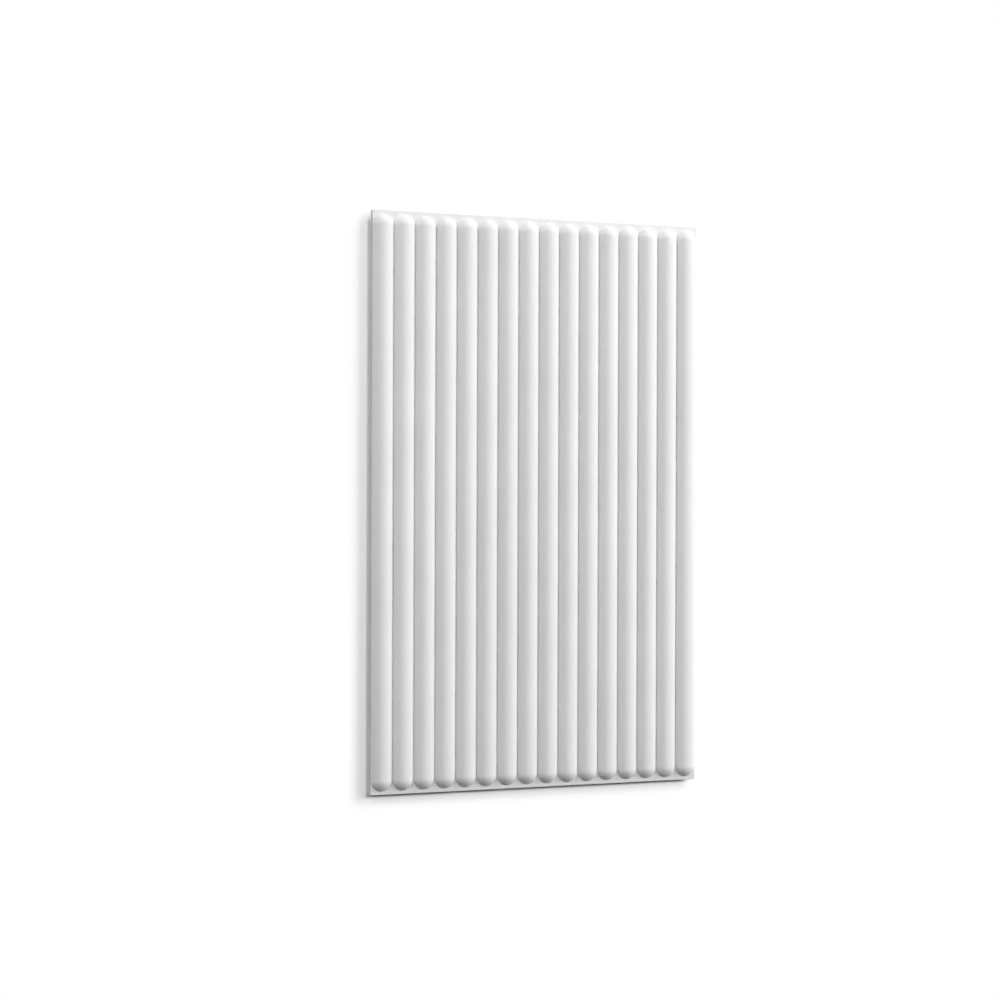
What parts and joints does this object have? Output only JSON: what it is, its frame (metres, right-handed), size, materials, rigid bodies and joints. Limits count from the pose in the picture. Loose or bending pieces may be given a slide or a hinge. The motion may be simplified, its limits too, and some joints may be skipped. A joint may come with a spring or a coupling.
{
  "type": "three-dimensional wall panel",
  "caption": "Flat rectangular relief panel for lining a wall, with a row of touching half-round reeds that run its whole length and end in rounded domes.",
  "frame": {"origin": "centre of the flat back face, which lies on the floor", "axes": "+X across the reeds, +Y along the reeds (up when the panel is on a wall), +Z out of the relief face"},
  "size_m": [0.7, 1.135, 0.023],
  "materials": {
    "primed_foam": "rigid moulded foam with a matt white primer"
  },
  "bodies": {
    "root": {"wall_panel": "primed_foam"}
  },
  "joints": []
}
